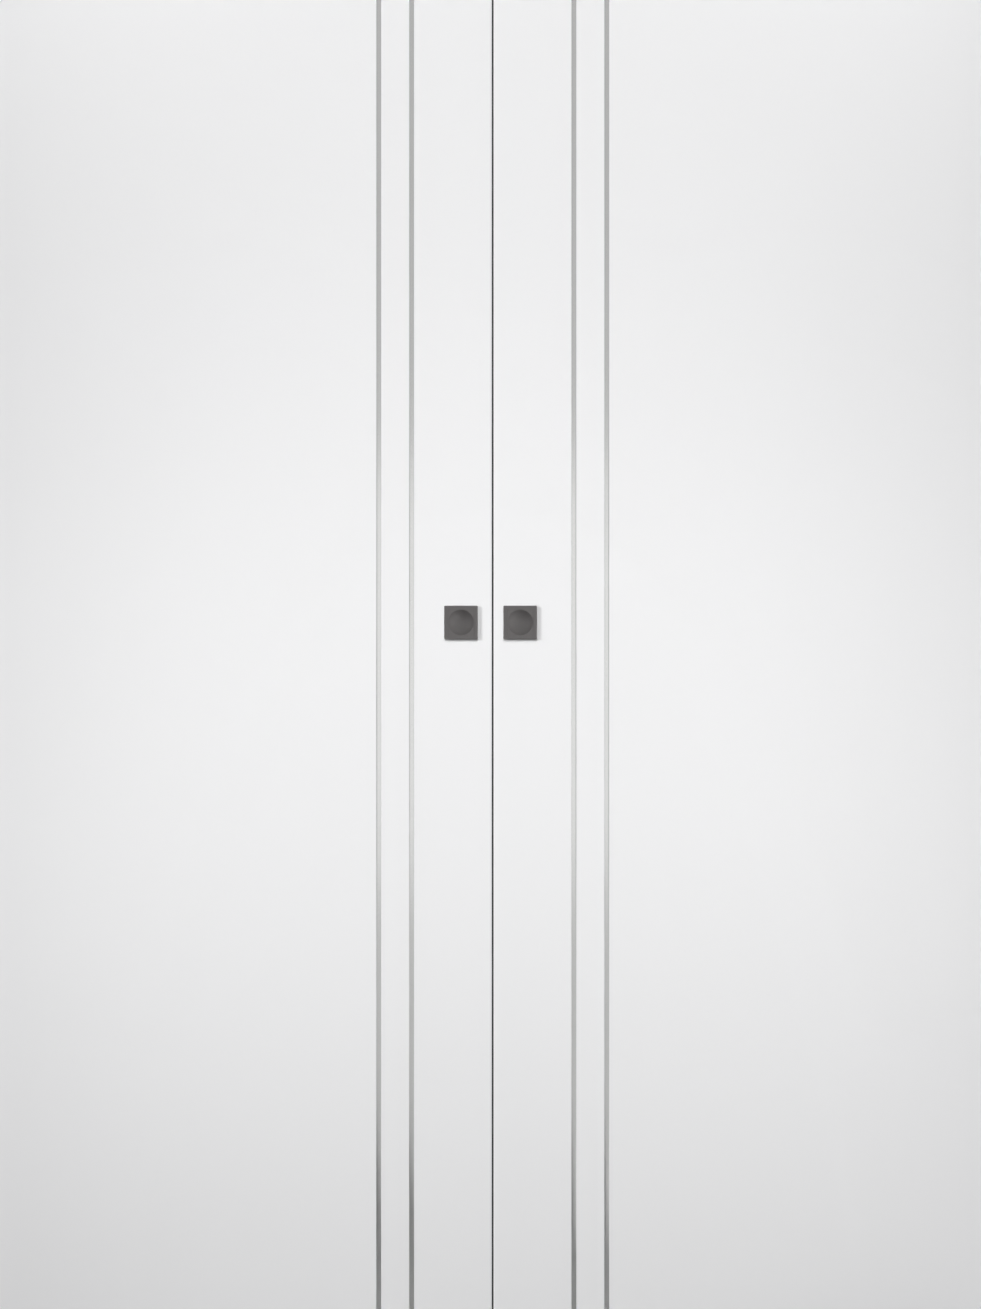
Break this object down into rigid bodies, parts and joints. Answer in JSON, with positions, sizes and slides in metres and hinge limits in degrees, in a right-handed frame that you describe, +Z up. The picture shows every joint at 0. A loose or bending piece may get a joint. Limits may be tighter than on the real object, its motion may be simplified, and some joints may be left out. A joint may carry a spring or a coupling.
{
  "type": "double sliding door",
  "caption": "Top-hung double sliding door: white lacquered leaves with upright metal inlays and square dished pulls, rolling on trolleys in a wall track behind a fascia.",
  "frame": {"origin": "on the floor, under the meeting line of the closed leaves, at the middle of the depth", "axes": "+X along the wall to the right as seen from the room, +Y into the wall, +Z up"},
  "size_m": [2.907, 0.06, 2.2275],
  "materials": {
    "white_lacquer": "satin white lacquer over board",
    "timber": "planed softwood",
    "tubular_board": "raw pressed board",
    "inlay_metal": "satin, fine lengthwise grain",
    "gunmetal": "satin gunmetal plating on a casting",
    "socket_plastic": "matt black",
    "seal_rubber": "matt black",
    "track_aluminium": "mill finish, clear anodised",
    "fascia_aluminium": "satin clear anodised, lengthwise grain",
    "cap_plastic": "silver grey, fine texture",
    "zinc_steel": "bright zinc plated",
    "trolley_metal": "raw zinc casting",
    "axle_steel": "ground steel",
    "wheel_nylon": "off-white nylon",
    "guide_nylon": "black nylon"
  },
  "bodies": {
    "track_assembly": {"wall_angle": "track_aluminium", "running_track": "track_aluminium", "track_screws": "zinc_steel", "track_nuts": "zinc_steel", "front_fascia": "fascia_aluminium", "fascia_clips": "zinc_steel", "end_caps": "cap_plastic", "centre_stop": "trolley_metal", "end_stops": "trolley_metal", "stop_screws": "axle_steel", "stop_buffers": "seal_rubber", "floor_guide_bases": "zinc_steel", "floor_guide_sleeves": "guide_nylon"},
    "left_leaf": {"left_core": "tubular_board", "left_front_skin": "white_lacquer", "left_back_skin": "white_lacquer", "left_meeting_stile": "timber", "left_outer_stile": "timber", "left_rails": "timber", "left_meeting_lipping": "white_lacquer", "left_outer_lipping": "white_lacquer", "left_inlays": "inlay_metal", "left_pull_plate": "gunmetal", "left_pull_socket": "socket_plastic", "left_meeting_seal": "seal_rubber", "left_guide_channel": "track_aluminium", "left_hanger_brackets": "zinc_steel", "left_hanger_screws": "zinc_steel", "left_hanger_bolts": "zinc_steel", "left_lock_nuts": "zinc_steel", "left_trolley_bodies": "trolley_metal", "left_axles": "axle_steel"},
    "left_inner_wheels_near": {"left_inner_wheels_near": "wheel_nylon"},
    "left_inner_wheels_far": {"left_inner_wheels_far": "wheel_nylon"},
    "left_outer_wheels_near": {"left_outer_wheels_near": "wheel_nylon"},
    "left_outer_wheels_far": {"left_outer_wheels_far": "wheel_nylon"},
    "right_leaf": {"right_core": "tubular_board", "right_front_skin": "white_lacquer", "right_back_skin": "white_lacquer", "right_meeting_stile": "timber", "right_outer_stile": "timber", "right_rails": "timber", "right_meeting_lipping": "white_lacquer", "right_outer_lipping": "white_lacquer", "right_inlays": "inlay_metal", "right_pull_plate": "gunmetal", "right_pull_socket": "socket_plastic", "right_meeting_seal": "seal_rubber", "right_guide_channel": "track_aluminium", "right_hanger_brackets": "zinc_steel", "right_hanger_screws": "zinc_steel", "right_hanger_bolts": "zinc_steel", "right_lock_nuts": "zinc_steel", "right_trolley_bodies": "trolley_metal", "right_axles": "axle_steel"},
    "right_inner_wheels_near": {"right_inner_wheels_near": "wheel_nylon"},
    "right_inner_wheels_far": {"right_inner_wheels_far": "wheel_nylon"},
    "right_outer_wheels_near": {"right_outer_wheels_near": "wheel_nylon"},
    "right_outer_wheels_far": {"right_outer_wheels_far": "wheel_nylon"}
  },
  "joints": [
    {"name": "left_leaf_slide", "type": "slide", "parent": "track_assembly", "child": "left_leaf", "axis": [-1, 0, 0], "range_m": [0, 0.7]},
    {"name": "left_inner_wheels_near_spin", "type": "hinge", "parent": "left_leaf", "child": "left_inner_wheels_near", "pos_m": [-0.037, 0, 2.1558], "axis": [0, 1, 0], "continuous": true},
    {"name": "left_inner_wheels_far_spin", "type": "hinge", "parent": "left_leaf", "child": "left_inner_wheels_far", "pos_m": [-0.085, 0, 2.1558], "axis": [0, 1, 0], "continuous": true},
    {"name": "left_outer_wheels_near_spin", "type": "hinge", "parent": "left_leaf", "child": "left_outer_wheels_near", "pos_m": [-0.6525, 0, 2.1558], "axis": [0, 1, 0], "continuous": true},
    {"name": "left_outer_wheels_far_spin", "type": "hinge", "parent": "left_leaf", "child": "left_outer_wheels_far", "pos_m": [-0.7005, 0, 2.1558], "axis": [0, 1, 0], "continuous": true},
    {"name": "right_leaf_slide", "type": "slide", "parent": "track_assembly", "child": "right_leaf", "axis": [1, 0, 0], "range_m": [0, 0.7]},
    {"name": "right_inner_wheels_near_spin", "type": "hinge", "parent": "right_leaf", "child": "right_inner_wheels_near", "pos_m": [0.037, 0, 2.1558], "axis": [0, 1, 0], "continuous": true},
    {"name": "right_inner_wheels_far_spin", "type": "hinge", "parent": "right_leaf", "child": "right_inner_wheels_far", "pos_m": [0.085, 0, 2.1558], "axis": [0, 1, 0], "continuous": true},
    {"name": "right_outer_wheels_near_spin", "type": "hinge", "parent": "right_leaf", "child": "right_outer_wheels_near", "pos_m": [0.6525, 0, 2.1558], "axis": [0, 1, 0], "continuous": true},
    {"name": "right_outer_wheels_far_spin", "type": "hinge", "parent": "right_leaf", "child": "right_outer_wheels_far", "pos_m": [0.7005, 0, 2.1558], "axis": [0, 1, 0], "continuous": true}
  ],
  "couplings": [
    {"joint": "left_inner_wheels_near_spin", "follows": "left_leaf_slide", "rad_per_m": -83.333},
    {"joint": "left_inner_wheels_far_spin", "follows": "left_leaf_slide", "rad_per_m": -83.333},
    {"joint": "left_outer_wheels_near_spin", "follows": "left_leaf_slide", "rad_per_m": -83.333},
    {"joint": "left_outer_wheels_far_spin", "follows": "left_leaf_slide", "rad_per_m": -83.333},
    {"joint": "right_inner_wheels_near_spin", "follows": "right_leaf_slide", "rad_per_m": 83.333},
    {"joint": "right_inner_wheels_far_spin", "follows": "right_leaf_slide", "rad_per_m": 83.333},
    {"joint": "right_outer_wheels_near_spin", "follows": "right_leaf_slide", "rad_per_m": 83.333},
    {"joint": "right_outer_wheels_far_spin", "follows": "right_leaf_slide", "rad_per_m": 83.333}
  ]
}
